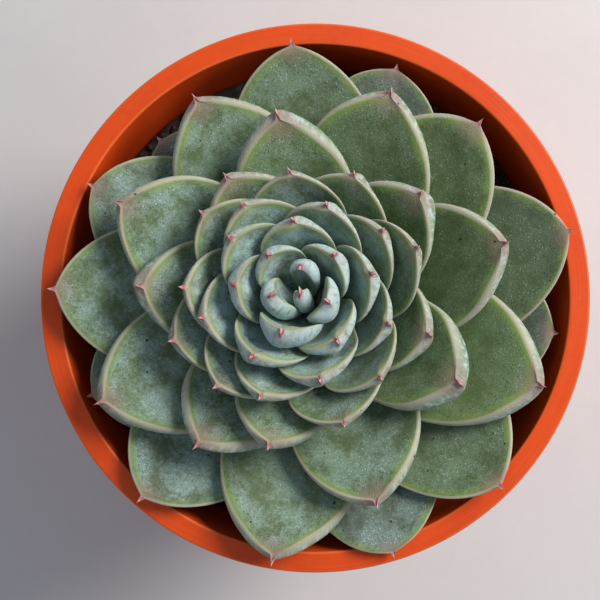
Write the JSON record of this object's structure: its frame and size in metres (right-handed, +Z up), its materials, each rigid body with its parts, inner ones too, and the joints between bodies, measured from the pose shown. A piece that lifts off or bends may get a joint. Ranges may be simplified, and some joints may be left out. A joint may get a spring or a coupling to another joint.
{
  "type": "potted succulent",
  "caption": "Rosette succulent with thick pointed leaves spiralling out of a bud, growing in soil in a round tapered plastic pot with a flat rim.",
  "frame": {"origin": "middle of the circle that the pot stands on", "axes": "+Z up through the pot; the rosette leans a little towards -X and +Y"},
  "size_m": [0.14, 0.14, 0.1371],
  "materials": {
    "pot": "satin",
    "soil": "matte",
    "stem": "matte",
    "leaf": "matte"
  },
  "bodies": {
    "root": {"pot": "pot", "soil": "soil", "stem": "stem", "leaf_00": "leaf", "leaf_01": "leaf", "leaf_02": "leaf", "leaf_03": "leaf", "leaf_04": "leaf", "leaf_05": "leaf", "leaf_06": "leaf", "leaf_07": "leaf", "leaf_08": "leaf", "leaf_09": "leaf", "leaf_10": "leaf", "leaf_11": "leaf", "leaf_12": "leaf", "leaf_13": "leaf", "leaf_14": "leaf", "leaf_15": "leaf", "leaf_16": "leaf", "leaf_17": "leaf", "leaf_18": "leaf", "leaf_19": "leaf", "leaf_20": "leaf", "leaf_21": "leaf", "leaf_22": "leaf", "leaf_23": "leaf", "leaf_24": "leaf", "leaf_25": "leaf", "leaf_26": "leaf", "leaf_27": "leaf", "leaf_28": "leaf", "leaf_29": "leaf", "leaf_30": "leaf", "leaf_31": "leaf", "leaf_32": "leaf", "leaf_33": "leaf", "leaf_34": "leaf", "leaf_35": "leaf", "leaf_36": "leaf", "leaf_37": "leaf", "leaf_38": "leaf", "leaf_39": "leaf", "leaf_40": "leaf", "leaf_41": "leaf", "leaf_42": "leaf", "leaf_43": "leaf", "leaf_44": "leaf", "leaf_45": "leaf", "leaf_46": "leaf", "leaf_47": "leaf", "leaf_48": "leaf", "leaf_49": "leaf", "leaf_50": "leaf", "leaf_51": "leaf", "leaf_52": "leaf", "leaf_53": "leaf", "leaf_54": "leaf", "leaf_55": "leaf", "leaf_56": "leaf"}
  },
  "joints": []
}
